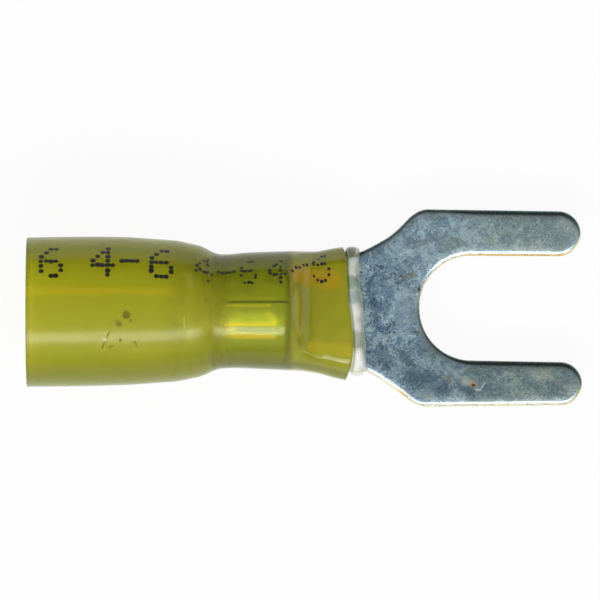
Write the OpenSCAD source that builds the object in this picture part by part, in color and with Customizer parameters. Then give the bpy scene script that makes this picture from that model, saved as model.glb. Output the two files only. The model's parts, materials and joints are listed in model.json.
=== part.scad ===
// Fork terminal with a heat-shrink sleeve, for 4 to 6 mm2 wire and an M5 stud. Millimetres.
// The origin is the stud's centre on the underside of the tongue.
// +X runs out along the tines and +Z runs up along the stud.

/* [Tongue] */
// Thickness of the metal sheet
stock_t = 0.8; // [0.7:0.05:0.9]
// Width of the slot that takes the stud
slot_w = 5.3; // [4.3:0.1:6.4]
// Width across both tines
fork_w = 10; // [9:0.1:12]
// Stud centre to the tips of the tines
tine_reach = 5.55; // [4:0.05:8]
// Stud centre to the end of the flat tongue
tongue_root = 5.5; // [5:0.1:7]
// Radius of the shoulder's outer corner
corner_r = 1.4; // [0.8:0.1:2]
// Radius of the hollow sweep from the neck out to the shoulder
sweep_r = 8.6; // [8:0.1:10]
// Width of the rolled-over upper edge left by the stamping die
edge_roll = 0.2; // [0.05:0.05:0.3]

/* [Neck and barrel] */
// Length over which the sheet bends from flat to a trough
neck_len = 3.7; // [3.2:0.1:4.5]
// Width of the trough where it leaves the barrel
neck_w = 4.4; // [4:0.1:4.6]
// Bore of the barrel that takes the bared wire
bore_d = 3.3; // [3.1:0.1:3.5]
// Length of the barrel
barrel_len = 5; // [4:0.1:7]
// Width of the butt seam along the top of the barrel
seam_w = 0.12; // [0.05:0.01:0.3]
// Lead-in chamfer at the barrel's wire end
lead_in = 0.15; // [0.05:0.05:0.3]

/* [Sleeve] */
// Outer diameter of the unshrunk wire end
sleeve_d = 7.5; // [7.2:0.1:8.6]
// Wall of the sleeve
sleeve_wall = 0.32; // [0.25:0.01:0.4]
// Length of the sleeve behind the barrel
sleeve_tail = 8.27; // [7:0.01:14]
// Length of the straight wire end
straight_len = 4; // [2:0.1:5]
// Outer diameter at the shoulder, just behind the barrel
shoulder_d = 7; // [6.8:0.05:7.1]
// How far the shoulder lies behind the barrel's wire end
shoulder_lead = 0.4; // [0.2:0.05:1]
// How far the waist lies along the barrel from its wire end
waist_run = 1.65; // [1.2:0.05:2.5]
// Outer diameter at the waist, on the barrel
waist_d = 5.74; // [5.7:0.01:5.9]
// Outer diameter over the barrel's front end
collar_d = 6.03; // [5.95:0.01:6.3]
// Height of the pinched mouth
mouth_h = 4; // [3.9:0.1:4.6]
// Cover of sleeve and lining at each side of the neck at the mouth
mouth_cover = 0.6; // [0.56:0.01:0.75]
// How far the corners of the mouth are drawn back
mouth_bow = 0.45; // [0:0.05:0.5]

/* [Lining] */
// Wall of the lining at the wire end
liner_wall = 0.2; // [0.1:0.01:0.3]
// Length of the bead pressed out of the mouth
bead_len = 0.57; // [0.4:0.01:0.8]
// Length of the solid plug behind the mouth
plug_len = 0.9; // [0.6:0.1:1.2]

/* [Hidden] */
$fn = 96;
// Step that keeps a lofted end inside the wall it grows from
tuck = 0.015;
// Overlap along X where a lofted end grows from a wall
lap = 0.15;
// Overlap, in degrees, of the edge cuts where two arcs touch
arc_lap = 0.01;
slot_r = slot_w / 2;
tine_w = (fork_w - slot_w) / 2;
fork_r = fork_w / 2;
barrel_r = bore_d / 2 + stock_t;
axis_z = barrel_r;
trough_half = asin(neck_w / 2 / barrel_r);
flat_half = 0.6;
x_flat = -tongue_root;
x_front = x_flat - neck_len;
x_rear = x_front - barrel_len;
x_tail = x_rear - sleeve_tail;
x_shoulder = x_rear - shoulder_lead;
x_waist = x_rear + waist_run;
// Centre of the hollow sweep, of the shoulder corner, and the point where the two arcs touch
sweep_c = [x_front, neck_w / 2 + sweep_r];
corner_y = fork_r - corner_r;
corner_x = x_front + sqrt(pow(sweep_r + corner_r, 2) - pow(sweep_c[1] - corner_y, 2));
touch = sweep_c + ([corner_x, corner_y] - sweep_c) * sweep_r / (sweep_r + corner_r);
touch_angle = atan2(sweep_c[1] - corner_y, corner_x - x_front);
// The sweep's edge cut starts this side of the flat tongue
sweep_start = -acos(neck_len / sweep_r) - 5;
// Depth by which a cut runs past what it cuts
past = 1;
// The bead stops short of the flat tongue by this much
bead_gap = 0.03;
x_bead = x_flat - bead_gap;
x_mouth = x_bead - bead_len;
x_plug = x_mouth - plug_len;
mouth_mid = stock_t / 2 + 0.6;
collar_r = collar_d / 2;
core_r = barrel_r - stock_t / 2;
ring_n = 48;

function mix(a, b, v) = a + (b - a) * v;
function ease(v) = v * v * (3 - 2 * v);
function power(v, n) = sign(v) * pow(abs(v), n);

// Half the width of the metal at x, along the hollow sweep
function half_w(x) = sweep_c[1] - sqrt(pow(sweep_r, 2) - pow(max(x - x_front, 0), 2));

mouth_half = half_w(x_mouth) + mouth_cover;

// Oval ring across X, squarer as n grows, with its sides drawn back by bow
function oval(x, half, low, high, n, bow) = [
    for (j = [0 : ring_n - 1])
        let (q = (j + 0.5) * 360 / ring_n)
        let (y = half * power(cos(q), 2 / n))
        let (z = power(sin(q), 2 / n))
        [x - bow * pow(y / mouth_half, 2), y, mix(low, high, (z + 1) / 2)]
];

function shifted(ring, dx) = [for (p = ring) p + [dx, 0, 0]];

// Section of the trough at x: underside from left to right, then the upper face back
function trough_ring(x) =
    let (s = min(max((x - x_front) / neck_len, 0), 1))
    let (half = mix(trough_half, flat_half, ease(s)))
    let (reach = half_w(min(x, x_flat)) - (x > x_flat ? 2 * tuck : 0))
    let (r = reach / sin(half))
    let (turn = [for (k = [0 : 16]) mix(-half, half, k / 16)])
    let (back = [for (k = [0 : 16]) mix(half, -half, k / 16)])
    let (low = r - tuck)
    let (top = r - stock_t + tuck)
    concat(
        [for (q = turn) [x, low * sin(q), r - low * cos(q)]],
        [for (q = back) [x, top * sin(q), r - top * cos(q)]]
    );

// Ring of the pinched front: v runs from the barrel's front to the mouth, inset is measured from the outside
function pinch_ring(v, inset) =
    let (e = ease(v))
    oval(
        mix(x_front + 2 * lap, x_mouth, v),
        mix(collar_r, mouth_half, v * v) - inset,
        mix(axis_z - collar_r, mouth_mid - mouth_h / 2, e) + inset,
        mix(axis_z + collar_r, mouth_mid + mouth_h / 2, e) - inset,
        2 + v,
        v * mouth_bow
    );

// Rings of the pinched front, with a round one first that lies inside the collar
function pinch_rings(inset) = concat(
    [shifted(pinch_ring(0, inset), -lap)],
    [for (k = [0 : 8]) pinch_ring(k / 8, inset)]
);

// Ring of the bead: v runs from the mouth to the bead's front
function bead_ring(v, side, drop) = oval(
    mix(x_mouth, x_bead, v),
    mouth_half - side,
    mouth_mid - mouth_h / 2 + drop / 2,
    mouth_mid + mouth_h / 2 - drop,
    3 + v,
    mix(mouth_bow, mouth_bow * 0.4, v)
);

// Ring of the hollow in front of the barrel, above the trough
function hollow_ring(v) = oval(
    mix(x_front + lap, x_plug, v),
    mix(core_r + tuck, half_w(x_plug) - stock_t / 2, v),
    axis_z - core_r - tuck,
    mix(axis_z + core_r + tuck, mouth_mid + mouth_h / 2 - 0.1, v),
    2 + v,
    0
);

// Outer radius of the sleeve as [radius, x], from the wire end to the barrel's front
function outside(inset) = concat(
    [[sleeve_d / 2 - inset, x_tail]],
    [for (k = [0 : 8])
        [mix(sleeve_d, shoulder_d, k * k / 64) / 2 - inset, mix(x_tail + straight_len, x_shoulder, k / 8)]],
    [for (k = [1 : 12])
        [mix(shoulder_d, waist_d, (1 - cos(k * 15)) / 2) / 2 - inset, mix(x_shoulder, x_waist, k / 12)]],
    [[collar_r - inset, x_front], [collar_r - inset, x_front + 2 * lap]]
);

function backward(list) = [for (k = [len(list) - 1 : -1 : 0]) list[k]];

// Closed solid through a list of rings that all have the same, even number of points
module loft(rings) {
    n = len(rings[0]);
    m = len(rings);
    last = (m - 1) * n;
    sides = [for (i = [0 : m - 2], j = [0 : n - 1])
        let (a = i * n + j)
        let (b = i * n + (j + 1) % n)
        each [[a, a + n, b + n], [a, b + n, b]]];
    caps = [for (k = [0 : n / 2 - 2])
        let (p = n - 1 - k)
        each [
            [k, k + 1, p - 1], [k, p - 1, p],
            [last + k, last + p - 1, last + k + 1], [last + k, last + p, last + p - 1]
        ]];
    polyhedron(points = [for (r = rings) each r], faces = concat(sides, caps));
}

// Turns a [radius, x] profile about the barrel's axis
module turned(profile) {
    translate([0, 0, axis_z])
        rotate([0, 90, 0])
            rotate_extrude()
                polygon(profile);
}

module both_sides() {
    children();
    mirror([0, 1, 0])
        children();
}

// Flat outline of the tongue from its root to the tine tips
module tongue_outline() {
    difference() {
        union() {
            difference() {
                polygon([
                    [x_flat, -touch[1]], [touch[0], -touch[1]], [corner_x, -corner_y], [corner_x, corner_y],
                    [touch[0], touch[1]], [x_flat, touch[1]]
                ]);
                for (side = [-1, 1])
                    translate([sweep_c[0], side * sweep_c[1]])
                        circle(sweep_r);
            }
            for (side = [-1, 1])
                translate([corner_x, side * corner_y])
                    circle(corner_r);
            translate([corner_x, -fork_r])
                square([tine_reach - tine_w / 2 - corner_x, fork_w]);
            for (side = [-1, 1])
                translate([tine_reach - tine_w / 2, side * (slot_r + tine_w / 2)])
                    circle(tine_w / 2);
        }
        circle(slot_r);
        translate([0, -slot_r])
            square([tine_reach + past, slot_w]);
    }
}

// Section of the cut that rolls the upper edge over, standing on an edge at r; way is +1 where the metal lies inside
module roll_section(r, way) {
    over = 0.1;
    polygon([
        [r - way * (edge_roll + over), stock_t + over],
        [r + way * over, stock_t - edge_roll - over],
        [r + way * over, stock_t + over]
    ]);
}

// The same cut along an arc
module roll_arc(c, r, way, from, to) {
    translate([c[0], c[1], 0])
        rotate([0, 0, from])
            rotate_extrude(angle = to - from)
                roll_section(r, way);
}

// The same cut along a straight edge that runs along X at y
module roll_line(x0, x1, y, way) {
    translate([x1, 0, 0])
        rotate([90, 0, -90])
            mirror([1, 0, 0])
                linear_extrude(height = x1 - x0)
                    roll_section(y, way);
}

module tongue() {
    tip_c = [tine_reach - tine_w / 2, slot_r + tine_w / 2];
    difference() {
        linear_extrude(height = stock_t)
            tongue_outline();
        roll_arc([0, 0], slot_r, -1, 0, 360);
        both_sides() {
            roll_line(0, tine_reach + past, slot_r, -1);
            roll_arc(tip_c, tine_w / 2, 1, -90, 90);
            roll_line(corner_x, tip_c[0], fork_r, 1);
            roll_arc([corner_x, corner_y], corner_r, 1, 90, 180 - touch_angle + arc_lap);
            roll_arc(sweep_c, sweep_r, -1, sweep_start, -touch_angle);
        }
    }
}

module neck() {
    loft(concat(
        [trough_ring(x_front - 0.4)],
        [for (k = [0 : 10]) trough_ring(mix(x_front + 0.05, x_flat - 0.05, k / 10))],
        [trough_ring(x_flat + 0.3)]
    ));
}

module barrel() {
    difference() {
        turned([
            [bore_d / 2 + lead_in, x_rear], [barrel_r, x_rear], [barrel_r, x_front],
            [bore_d / 2, x_front], [bore_d / 2, x_rear + lead_in]
        ]);
        translate([x_rear - past, -seam_w / 2, axis_z])
            cube([barrel_len + 2 * past, seam_w, 2 * barrel_r]);
    }
}

module fork_and_barrel() {
    color([0.62, 0.66, 0.68])
        union() {
            tongue();
            neck();
            barrel();
        }
}

module heat_shrink_sleeve() {
    bore = pinch_rings(sleeve_wall - tuck);
    color([0.78, 0.72, 0.1])
        union() {
            turned(concat(outside(0), backward(outside(sleeve_wall))));
            difference() {
                loft(pinch_rings(tuck));
                loft(concat([shifted(bore[0], -lap / 2)], bore, [shifted(bore[len(bore) - 1], lap)]));
            }
        }
}

module adhesive_liner() {
    skin = outside(sleeve_wall);
    lining = [for (p = skin) [max(barrel_r, p[0] - liner_wall), p[1]]];
    inner = [for (p = lining) if (p[1] < x_front) p];
    color([0.88, 0.88, 0.8])
        difference() {
            union() {
                turned(concat(
                    skin,
                    [[core_r, x_front + 2 * lap], [core_r, x_front], [barrel_r, x_front]],
                    backward(inner)
                ));
                difference() {
                    loft(concat(
                        pinch_rings(sleeve_wall + tuck),
                        [
                            bead_ring(0.06, sleeve_wall + tuck, sleeve_wall + tuck),
                            bead_ring(0.12, 0.2, 0.25),
                            bead_ring(0.45, 0.14, 0.4),
                            bead_ring(0.8, 0.16, 0.75),
                            bead_ring(1, 0.24, 1.05)
                        ]
                    ));
                    loft(concat(
                        [shifted(hollow_ring(0), -lap / 2)],
                        [for (k = [0 : 6]) hollow_ring(k / 6)]
                    ));
                }
            }
            neck();
        }
}

fork_and_barrel();
heat_shrink_sleeve();
adhesive_liner();
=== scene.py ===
# %% [markdown]
# # Fork terminal with a heat-shrink sleeve
#
# A crimp terminal is three pieces: a fork and barrel stamped from tinned copper sheet, a yellow heat-shrink sleeve, and the
# hot-melt lining that has been pressed out at the sleeve's front mouth. The CAD model gives their sizes and places. This
# lesson dresses each of them with a mesh of its own and a finish made of shader nodes.

# %% Load the frame
import json
import math

import bmesh
import bpy
import numpy as np
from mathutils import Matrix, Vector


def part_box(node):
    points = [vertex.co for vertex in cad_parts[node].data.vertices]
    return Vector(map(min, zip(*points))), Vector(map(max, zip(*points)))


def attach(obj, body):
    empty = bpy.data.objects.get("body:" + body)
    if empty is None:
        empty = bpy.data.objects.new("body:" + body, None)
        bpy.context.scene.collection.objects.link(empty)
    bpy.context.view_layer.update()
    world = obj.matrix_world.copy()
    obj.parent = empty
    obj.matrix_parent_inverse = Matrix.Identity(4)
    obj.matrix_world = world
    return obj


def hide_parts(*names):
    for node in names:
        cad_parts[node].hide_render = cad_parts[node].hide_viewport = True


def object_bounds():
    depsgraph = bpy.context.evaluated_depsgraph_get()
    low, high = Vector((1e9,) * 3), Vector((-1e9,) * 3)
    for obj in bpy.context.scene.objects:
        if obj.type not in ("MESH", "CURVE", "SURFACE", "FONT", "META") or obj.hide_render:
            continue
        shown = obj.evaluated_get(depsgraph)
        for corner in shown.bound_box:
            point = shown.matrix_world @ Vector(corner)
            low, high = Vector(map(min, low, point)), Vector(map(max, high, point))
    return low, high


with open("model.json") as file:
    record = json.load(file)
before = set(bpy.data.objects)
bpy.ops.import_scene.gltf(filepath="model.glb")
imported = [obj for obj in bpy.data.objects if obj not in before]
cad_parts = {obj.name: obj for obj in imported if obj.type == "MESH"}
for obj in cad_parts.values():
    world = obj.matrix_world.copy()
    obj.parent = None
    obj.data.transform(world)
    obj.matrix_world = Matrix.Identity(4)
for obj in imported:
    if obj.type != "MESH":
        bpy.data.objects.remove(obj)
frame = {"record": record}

cad_low, cad_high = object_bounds()
print("CAD box in mm:", [round(v * 1000, 2) for v in cad_low], [round(v * 1000, 2) for v in cad_high])

# %% [markdown]
# ## Sizes that come from the frame
#
# The origin is the stud's centre on the tongue's underside. X runs out along the tines and Z runs up. The slot, the bore and
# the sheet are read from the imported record, and the fork's width, the barrel's rear and the sleeve's tail from the CAD boxes.
# Other sizes are named values. Everything is drawn in millimetres and scaled to metres when a mesh is made.

# %% Sizes
MM = 0.001
UM = 1e-6
mounts = {m["name"]: m for m in frame["record"]["mounts"]}
slot_r = mounts["stud_slot"]["dims"]["r_mm"]
bore_r = mounts["wire_barrel"]["dims"]["r_mm"]
axis_z = mounts["wire_barrel"]["pos_m"][2] / MM
sheet_t = mounts["tongue_top"]["pos_m"][2] / MM
barrel_r = bore_r + sheet_t
metal_low, metal_high = (np.array(v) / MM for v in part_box("fork_and_barrel"))
sleeve_low = np.array(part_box("heat_shrink_sleeve")[0]) / MM
flat_x = -5.5
barrel_front = -9.2
barrel_rear = metal_low[0]
print(f"slot radius {slot_r} mm, bore radius {bore_r} mm, sheet {sheet_t} mm")
print(f"barrel from {barrel_rear:.2f} to {barrel_front} mm")

# %% [markdown]
# ## Camera
#
# The photograph looks straight down with almost no perspective, so a long lens hangs high above the part. One millimetre is
# 19.8 pixels, and the middle of a 600-pixel frame lies on the sleeve, a little in front of the barrel.

# %% Camera
px_per_mm = 19.8
frame_px = 600
frame_mm = frame_px / px_per_mm
aim_x, aim_y, aim_z = -8.69, 0.41, 1.6
camera = bpy.data.objects.new("camera", bpy.data.cameras.new("camera"))
camera.data.lens = 800
camera.data.sensor_width = 36
camera.data.clip_start, camera.data.clip_end = 0.05, 10
camera_height = aim_z + frame_mm / 2 / (camera.data.sensor_width / 2 / camera.data.lens)
camera.location = (aim_x * MM, aim_y * MM, camera_height * MM)
bpy.context.scene.collection.objects.link(camera)
bpy.context.scene.camera = camera
print(f"camera {camera_height:.0f} mm above the tongue's underside, frame {frame_mm:.2f} mm wide")

# %% [markdown]
# ## Helpers for grids of points
#
# Every piece here is a surface that runs along a path: an edge that runs round the fork, or rings that run along the tube.
# A few helpers are enough. The main ones draw a smooth line through some given values, and turn points and faces into
# a closed, smooth-shaded mesh.

# %% Helpers
def smooth_line(stations):
    """A function that runs smoothly, without overshoot, through (place, value) pairs."""
    at, value = (np.array(v, float) for v in zip(*sorted(stations)))
    rise = np.diff(value) / np.diff(at)
    before, after = rise[:-1], rise[1:]
    inner = np.where(before * after > 0, 2 * before * after / (before + after + 1e-12), 0)
    slope = np.concatenate([[rise[0]], inner, [rise[-1]]])

    def line(x):
        x = np.clip(x, at[0], at[-1])
        k = np.clip(np.searchsorted(at, x) - 1, 0, len(at) - 2)
        span = at[k + 1] - at[k]
        u = (x - at[k]) / span
        return ((1 + 2 * u) * (1 - u) ** 2 * value[k] + u * (1 - u) ** 2 * span * slope[k]
                + u * u * (3 - 2 * u) * value[k + 1] + u * u * (u - 1) * span * slope[k + 1])
    return line


def ease(v):
    v = np.clip(v, 0, 1)
    return v * v * (3 - 2 * v)


def make_piece(name, points, faces, sharp_degrees=40):
    mesh = bpy.data.meshes.new(name)
    mesh.from_pydata([tuple(np.asarray(p, float) * MM) for p in points], [], faces)
    bm = bmesh.new()
    bm.from_mesh(mesh)
    bmesh.ops.recalc_face_normals(bm, faces=bm.faces)
    open_edges = sum(not e.is_manifold for e in bm.edges)
    bm.to_mesh(mesh)
    bm.free()
    mesh.polygons.foreach_set("use_smooth", [True] * len(mesh.polygons))
    mesh.set_sharp_from_angle(angle=math.radians(sharp_degrees))
    piece = bpy.data.objects.new(name, mesh)
    bpy.context.scene.collection.objects.link(piece)
    print(f"{name}: {len(mesh.vertices)} points, {len(mesh.polygons)} faces, {open_edges} open edges")
    return piece


def value_points(piece, name, values):
    """Gives each point of a piece a value that a finish can read by name."""
    piece.data.attributes.new(name, "FLOAT", "POINT").data.foreach_set("value", values)


def grid_faces(rows, columns, first=0, loop_rows=False, loop_columns=False):
    """Quads of a grid whose points are numbered row by row from first."""
    return [[first + i * columns + j, first + ((i + 1) % rows) * columns + j,
             first + ((i + 1) % rows) * columns + (j + 1) % columns, first + i * columns + (j + 1) % columns]
            for i in range(rows if loop_rows else rows - 1) for j in range(columns if loop_columns else columns - 1)]


# %% [markdown]
# ## Outline of the fork
#
# The fork is stamped, so its outline is made of arcs and straight lines that touch: a wide hollow sweep from the neck, a round
# shoulder, two tines that taper a little, round tips, and a half-round seat. The die was worn or the tines were bent a little,
# because the tip on the -Y side reaches further out. Points along the edge, each with its outward direction, are all that the
# rolled edge needs later.

# %% Fork outline
neck_half = 2.2
sweep_r = 8.6
corner_r = 1.4
fork_half = metal_high[1]


def arc(centre, radius, start, end, count):
    turn = np.radians(np.linspace(start, end, count))
    return np.column_stack([centre[0] + radius * np.cos(turn), centre[1] + radius * np.sin(turn)])


def straight(start, end, count):
    return np.array(start) + (np.array(end) - np.array(start)) * np.linspace(0, 1, count)[:, None]


def half_edge(tip_x, tip_y, tip_r):
    """Edge on the +Y side from the barrel's front to the slot's seat, and the number of points along the neck."""
    sweep_c = np.array([barrel_front, neck_half + sweep_r])
    corner_y = fork_half - corner_r
    corner = np.array([barrel_front + math.sqrt((sweep_r + corner_r) ** 2 - (sweep_c[1] - corner_y) ** 2), corner_y])
    root = -math.degrees(math.acos((flat_x - barrel_front) / sweep_r))
    touch = math.degrees(math.atan2(corner_y - sweep_c[1], corner[0] - sweep_c[0]))
    neck = arc(sweep_c, sweep_r, -90, root, 31)[:-1]
    pieces = [neck, arc(sweep_c, sweep_r, root, touch, 28)[:-1], arc(corner, corner_r, 180 + touch, 90, 18)[:-1],
              straight((corner[0], fork_half), (tip_x, tip_y + tip_r), 30)[:-1], arc((tip_x, tip_y), tip_r, 90, -90, 40)[:-1],
              straight((tip_x, tip_y - tip_r), (0, slot_r), 24)[:-1], arc((0, 0), slot_r, 90, 180, 34)]
    return np.vstack(pieces), len(neck)


upper_edge, neck_count = half_edge(tip_x=4.36, tip_y=3.76, tip_r=1.14)
lower_edge, _ = half_edge(tip_x=4.47, tip_y=3.83, tip_r=1.1)
fork_edge = np.vstack([upper_edge, (lower_edge * (1, -1))[::-1][1:]])
along = np.gradient(fork_edge, axis=0)
along /= np.linalg.norm(along, axis=1)[:, None]
outward = np.column_stack([-along[:, 1], along[:, 0]])
lean_span = 3
lean_high = smooth_line([(barrel_rear, -0.12), (barrel_front, -0.1), (-7.4, -0.12), (-5.05, -0.15), (-4.2, -0.2),
                         (-3.1, -0.1), (-2.2, 0), (0, 0)])
lean_low = smooth_line([(barrel_rear, -0.12), (barrel_front, -0.1), (-7.4, -0.1), (-5.05, -0.1), (-4.2, -0.1),
                        (-3.1, 0), (0, 0)])


def leaned(points):
    """Points of the metal moved the little way by which barrel and neck stand askew to the tines."""
    points = np.array(points, float)
    x, y = points[:, 0], points[:, 1]
    share = np.clip(0.5 + y / lean_span, 0, 1)
    points[:, 1] = y + lean_low(x) * (1 - share) + lean_high(x) * share
    return points


print(f"fork edge: {len(fork_edge)} points, tips at x {fork_edge[:, 0].max():.2f} mm")

# %% [markdown]
# ## Fork and barrel
#
# A stamping has two kinds of edge. The die draws the sheet down on the upper side, which leaves a soft rolled edge that ends
# in a slope, and the wall below it is torn, with bare copper in it and on the foot of the slope. A bevel modifier would give
# both sides the same round, so the edge is built from loops that follow its section. The neck carries that section on and
# bends it into a trough, and the barrel is a rolled ring with a butt seam on top.

# %% Section of the stamped edge
edge_section = [(0.2, 0), (0.06, 0), (0.018, 0.014), (0, 0.05), (0, 0.3), (0, 0.62), (0.004, 0.635), (0.05, 0.682),
                (0.1, 0.72), (0.15, 0.747), (0.2, 0.765), (0.25, 0.7755), (0.3, 0.7822), (0.35, 0.7875), (0.4, 0.792),
                (0.45, 0.7955), (0.5, 0.798), (0.55, 0.7995), (0.6, sheet_t), (0.68, sheet_t)]
copper_rows = range(3, 8)
# Rows of the rolled edge that get a lighter, smoother finish: partly polish from wear, partly a painted highlight on
# the slope where the lamp's reflection falls.
polish_and_highlight = [0, 0, 0, 0, 0, 0, 0, 0.4, 0.8, 1, 0.9, 0.6, 0.4, 0.3, 0.2, 0.1, 0.05, 0, 0, 0]
inset, height = np.array(edge_section).T
rows_of_edge = len(edge_section)
across = 21
trough_half = math.asin(neck_half / barrel_r)


def trough_bend(x):
    return trough_half * (1 - ease((x - barrel_front) / (flat_x - barrel_front)))


def bent(y, z, half, bend):
    """Where a point of the flat sheet goes when the sheet is bent into a trough that stays 2 * half wide."""
    if bend < 0.002:
        return y, z
    r = half / math.sin(bend)
    turn = bend * y / half
    return (r - z) * np.sin(turn), r - (r - z) * np.cos(turn)


def neck_ring(k, squeeze=0.0, shift=0.0):
    """Closed section of the neck: underside, +Y edge, upper face, -Y edge."""
    edge, out = fork_edge[k], outward[k]
    side = np.column_stack([edge[0] - out[0] * inset, edge[1] - out[1] * inset, height])
    low_y, top_y = (np.linspace(*ends, across) for ends in ((-side[0, 1], side[0, 1]), (side[-1, 1], -side[-1, 1])))
    low = np.column_stack([np.full(across, side[0, 0]), low_y, np.zeros(across)])
    top = np.column_stack([np.full(across, side[-1, 0]), top_y, np.full(across, sheet_t)])
    ring = np.vstack([low, side[1:-1], top, (side * (1, -1, 1))[-2:0:-1]])
    y = ring[:, 1] * (1 - squeeze)
    z = squeeze * sheet_t + ring[:, 2] * (1 - 2 * squeeze)
    y, z = bent(y, z, edge[1], trough_bend(edge[0]))
    return np.column_stack([ring[:, 0] + shift, y, z])


# %% Fork, neck and barrel in one mesh
metal_points, metal_faces, copper_faces = [], [], []
fork_part = range(neck_count, len(fork_edge) - neck_count)
for k in fork_part:
    flat = fork_edge[k] - outward[k] * inset[:, None]
    metal_points += [(x, y, z) for (x, y), z in zip(flat, height)]
fork_count = len(fork_part)
metal_faces += grid_faces(fork_count, rows_of_edge)
copper_faces += [n for n in range(len(metal_faces)) if n % (rows_of_edge - 1) in copper_rows]

root_ring = neck_ring(neck_count)
first_low = len(metal_points)
metal_points += list(root_ring[1:across - 1])
first_top = len(metal_points)
metal_points += list(root_ring[across + rows_of_edge - 1:2 * across + rows_of_edge - 3])
last = (fork_count - 1) * rows_of_edge
low_loop = [k * rows_of_edge for k in range(fork_count)]
top_loop = [k * rows_of_edge + rows_of_edge - 1 for k in range(fork_count)]
metal_faces.append(low_loop + [first_low + k for k in range(across - 2)])
metal_faces.append(top_loop + [first_top + k for k in range(across - 3, -1, -1)])

root_row = ([last] + [first_low + k for k in range(across - 2)] + list(range(0, rows_of_edge))
            + [first_top + k for k in range(across - 2)] + [last + k for k in range(rows_of_edge - 1, 0, -1)])
tuck_in, tuck_squeeze = 0.3, 0.02
rows = [root_row]
for k in range(neck_count - 1, -1, -1):
    rows.append(list(range(len(metal_points), len(metal_points) + len(root_row))))
    metal_points += list(neck_ring(k))
rows.append(list(range(len(metal_points), len(metal_points) + len(root_row))))
metal_points += list(neck_ring(0, tuck_squeeze, -tuck_in))
for one, two in zip(rows, rows[1:]):
    metal_faces += [[one[j], two[j], two[(j + 1) % len(one)], one[(j + 1) % len(one)]] for j in range(len(one))]
metal_faces.append(rows[-1])

seam_gap = 0.12
seam_half = math.asin(seam_gap / 2 / barrel_r)
seam_turn = math.radians(9.4)
barrel_sides = 121
edge_r = 0.05
front_round = [(0.6, 0), (0.42, 0.02), (0.3, 0.07), (0.2, 0.15), (0.12, 0.26), (0.05, 0.4), (0, 0.55)]
lead_in = [(0.18, 0), (0.02, 0.13), (0, 0.17)]
barrel_section = [(barrel_rear + edge_r, barrel_r)] + [(barrel_front - back, barrel_r - drop) for back, drop in front_round]
barrel_section += [(barrel_front, bore_r + edge_r), (barrel_front - edge_r, bore_r)]
barrel_section += [(barrel_rear + on, bore_r + wider) for on, wider in lead_in] + [(barrel_rear, barrel_r - edge_r)]
barrel_first, first_barrel_face = len(metal_points), len(metal_faces)
barrel_turns = seam_turn + np.linspace(seam_half, 2 * math.pi - seam_half, barrel_sides)
for turn in barrel_turns:
    metal_points += [(x, r * math.sin(turn), axis_z + r * math.cos(turn)) for x, r in barrel_section]
ring = len(barrel_section)
metal_faces += grid_faces(len(barrel_turns), ring, barrel_first, loop_columns=True)
metal_faces += [list(range(barrel_first, barrel_first + ring)), list(range(len(metal_points) - ring, len(metal_points)))]
terminal = make_piece("fork_and_barrel_metal", leaned(metal_points), metal_faces)
rest_of_metal = len(metal_points) - rows_of_edge * fork_count
value_points(terminal, "edge_polish_and_highlight", polish_and_highlight * fork_count + [0] * rest_of_metal)

# %% [markdown]
# ## Heat-shrink sleeve
#
# The sleeve is a tube of one wall thickness that was shrunk at the front and left wide at the wire end. It could be lathed, but
# the front is pinched flat over the neck and its cut edge runs askew, so it is made of rings. Each ring is an oval whose half
# width and height change along X, and it takes on flat faces over the neck. The same ring with an inset gives the inside, and
# both are closed by round rims.

# %% Sleeve shape
sleeve_wall = 0.32
bond_x = -13.2
tail_x = sleeve_low[0]
mouth_x = -6.2
pinch_x = -8.95
past_mouth = 1.1
half_width = smooth_line([(tail_x, 3.765), (-20.7, 3.775), (-19.1, 3.765), (-17.5, 3.73), (-15.9, 3.625), (-15.05, 3.565),
                          (-14.65, 3.505), (-14.24, 3.415), (-13.84, 3.33), (-13.43, 3.18), (-13.03, 2.98), (-12.63, 2.885),
                          (-12.2, 2.88), (-11.4, 2.925), (-10.6, 2.96), (-9.8, 2.99), (-9.0, 3.02), (-8.2, 3.05),
                          (-7.8, 3.09), (-7.35, 3.175), (-6.95, 3.265), (mouth_x, 3.37)])
centre_y = smooth_line([(tail_x, -0.2), (-17, -0.145), (-14.2, -0.15), (-12.8, -0.17), (-11.4, -0.115), (-9, -0.13),
                        (-7.8, -0.21), (mouth_x, -0.28)])
mouth_low, mouth_high = sleeve_low[2], 3.0
pinch = smooth_line([(-9.7, 0), (-9.4, 0.04), (-9.2, 0.1), (-8.9, 0.27), (-8.5, 0.55), (-8.1, 0.74), (-7.6, 0.86),
                     (-7.0, 0.94), (mouth_x, 1), (mouth_x + 0.2, 1.02)])
edge_line = smooth_line([(-3.6, -6.4), (-2.9, -6.16), (-1.9, -6.06), (-0.4, -6.17), (0.4, -6.3), (2.3, -6.37),
                         (2.8, -6.45), (3.4, -6.66)])
facet_x, facet_run, facet_share = -9.3, 1.15, 0.94
facet_power = 32


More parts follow.
